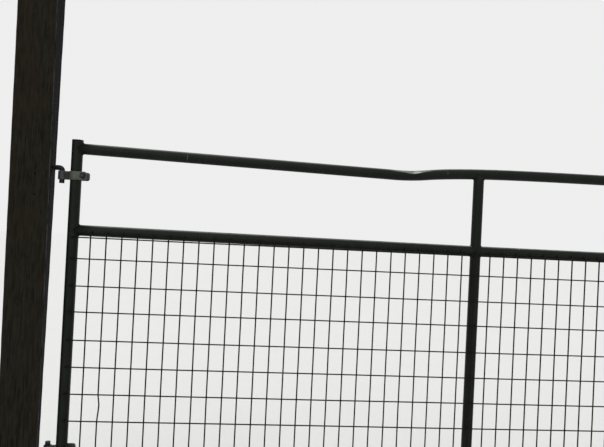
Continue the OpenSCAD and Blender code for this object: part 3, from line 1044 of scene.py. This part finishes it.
def post_top(x, hand, seed, outline, checks):
    """Rings that close the rough end grain."""
    turn = post_turn(POST_H, hand)
    rings = []
    for share in TOP_SHARES:
        ring = []
        for spot in outline:
            p = turn @ (post_point(spot, POST_H, checks, seed) * share)
            rough = TOP_ROUGH * (1 + noise.noise(Vector((p.x * TOP_WAVES, p.y * TOP_WAVES, seed))))
            ring.append(Vector((x + p.x, p.y, POST_H - rough * TOP_FALL)))
        rings.append(ring)
    return rings


def post(name, x, hand, seed, timber, corner):
    """Rough sawn post; hand is the way it twists, and corner the finish of its corners, which carries a
    painted highlight.
    """
    outline, checks = post_outline(), make_checks(seed)
    shape = Shape()
    shape.loft(post_sides(x, hand, seed, outline, checks) + post_top(x, hand, seed, outline, checks))
    obj = shape.piece(f"{name}_timber", "posts", timber, [name], sharp=50)
    obj.data.materials.append(corner)
    on_corner = [angle > 0 for _, _, angle in outline]
    for face in obj.data.polygons[:POST_ROWS * len(outline)]:
        spot = face.index % len(outline)
        if on_corner[spot] or on_corner[(spot + 1) % len(outline)]:
            face.material_index = 1


# Camera, lamps and surroundings

CAMERA_AT = (0.8119, -2.3044, 1.1706)
CAMERA_AHEAD = (0.09196, 0.99572, 0.00923)
CAMERA_UP = (-0.05059, -0.00459, 0.99871)
LENS = 35.17
SENSOR = 36
AMBIENT = 0.45
BACKDROP = 0.86
LAMPS = (("sky", (0.1, -0.35, -1), 30, 1.3), ("front", (0.25, 1, -0.75), 60, 0.75))
FLOOR_HALF = 40
FLOOR_Z = -0.0005


def camera():
    """Stands where the photograph was taken, turned a little right and rolled."""
    data = bpy.data.cameras.new("camera")
    data.sensor_width = SENSOR
    data.lens = LENS
    obj = bpy.data.objects.new("camera", data)
    ahead = Vector(CAMERA_AHEAD).normalized()
    right = ahead.cross(Vector(CAMERA_UP)).normalized()
    turn = Matrix((right, right.cross(ahead), -ahead)).transposed()
    obj.matrix_world = Matrix.Translation(CAMERA_AT) @ turn.to_4x4()
    bpy.context.scene.collection.objects.link(obj)
    bpy.context.scene.camera = obj


def lamp(name, toward, softness, strength):
    """Distant lamp that shines along a direction, softness being its width in degrees."""
    data = bpy.data.lights.new(name, "SUN")
    data.angle = math.radians(softness)
    data.energy = strength
    obj = bpy.data.objects.new(name, data)
    obj.rotation_mode = "QUATERNION"
    obj.rotation_quaternion = Vector(toward).to_track_quat("-Z", "Y")
    bpy.context.scene.collection.objects.link(obj)


def world(ambient, backdrop):
    """Even light, and a pale backdrop for the camera, for reflections and behind clear things."""
    made = bpy.data.worlds.new("studio")
    made.use_nodes = True
    tree = made.node_tree
    tree.nodes.clear()
    path = tree.nodes.new("ShaderNodeLightPath")
    seen = path.outputs["Is Camera Ray"]
    for ray in ("Is Glossy Ray", "Is Transmission Ray"):
        either = tree.nodes.new("ShaderNodeMath")
        either.operation = "MAXIMUM"
        tree.links.new(seen, either.inputs[0])
        tree.links.new(path.outputs[ray], either.inputs[1])
        seen = either.outputs["Value"]
    mix = tree.nodes.new("ShaderNodeMixShader")
    for i, level in enumerate((ambient, backdrop)):
        light = tree.nodes.new("ShaderNodeBackground")
        light.inputs["Color"].default_value = (level, level, level, 1)
        tree.links.new(light.outputs["Background"], mix.inputs[i + 1])
    tree.links.new(seen, mix.inputs["Fac"])
    output = tree.nodes.new("ShaderNodeOutputWorld")
    tree.links.new(mix.outputs["Shader"], output.inputs["Surface"])
    bpy.context.scene.world = made


def floor_finish():
    """Pale, even and matt."""
    f = Finish("pale_floor")
    grain = f.noise(3, 3)
    color = f.mix(grain, tone(235, 235, 234), tone(239, 239, 238))
    return f.finish(color, 0.9, f.bump(grain, 0.0005), specular=0.1)


def floor():
    """Plain pale floor under the whole gate."""
    middle_x = (cad_bounds[LOW][X] + cad_bounds[HIGH][X]) / 2
    corners = ((-1, -1), (1, -1), (1, 1), (-1, 1))
    mesh = bpy.data.meshes.new("floor")
    mesh.from_pydata([(middle_x + sx * FLOOR_HALF, sy * FLOOR_HALF, FLOOR_Z) for sx, sy in corners], [],
                     [(0, 1, 2, 3)])
    mesh.materials.append(floor_finish())
    obj = bpy.data.objects.new("floor", mesh)
    bpy.context.scene.collection.objects.link(obj)


def studio():
    """Camera, lamps, backdrop and floor."""
    camera()
    world(AMBIENT, BACKDROP)
    for name, toward, softness, strength in LAMPS:
        lamp(name, toward, softness, strength)
    floor()
    bpy.context.scene.view_settings.view_transform = "Standard"


def keep_cad(material, nodes):
    """Gives CAD nodes a finish, and leaves their shape."""
    for name in nodes:
        obj = frame["nodes"][name]
        obj.data.materials.clear()
        obj.data.materials.append(material)


# The gate and its posts

PAINTED_NODES = ("hinge_stile", "latch_stile", "stile_caps", "bottom_rail", "upper_brace_1", "upper_brace_2",
                 "lower_brace_1", "lower_brace_2")
HOOK_NODES = ("upper_hook", "lower_hook")
# strength of the painted highlight on the posts' corners
CORNER_HIGHLIGHT = 0.8
# where the top rail's pale band of dust and painted highlight starts and where it is full
TOP_RAIL_WEAR_AND_HIGHLIGHT = (0.76, 0.88)
HINGE_POST_SEED = 3
LATCH_POST_SEED = 8

studio()
paint = tube_paint()
marked_paint = tube_paint("marked_tube_paint", RAIL_MARKS)
top_paint = tube_paint("top_rail_paint", RAIL_MARKS, TOP_RAIL_WEAR_AND_HIGHLIGHT, RUBBED_AND_HIGHLIGHT)
wire, weld = mesh_wire(), weld_steel()
keep_cad(paint, PAINTED_NODES)
keep_cad(hook_steel(), HOOK_NODES)
top_rail(top_paint)
second_rail(marked_paint)
frame_welds(weld)
wires(wire, weld)
strap_finish = strap_steel()
nut_finish = bolt_steel("nut_steel", tone(21, 21, 21), tone(37, 36, 33))
bolt_finish = bolt_steel("bolt_steel", tone(50, 51, 50), tone(76, 76, 72))
for hinge in ("upper", "lower"):
    strap(hinge, strap_finish)
    nut(hinge, nut_finish)
    bolt(hinge, bolt_finish)
timber_finish = post_timber()
corner_highlight_finish = post_timber("corner_highlight", CORNER_HIGHLIGHT)
post("hinge_post", 0, 1, HINGE_POST_SEED, timber_finish, corner_highlight_finish)
post("latch_post", LATCH_POST_X, -1, LATCH_POST_SEED, timber_finish, corner_highlight_finish)
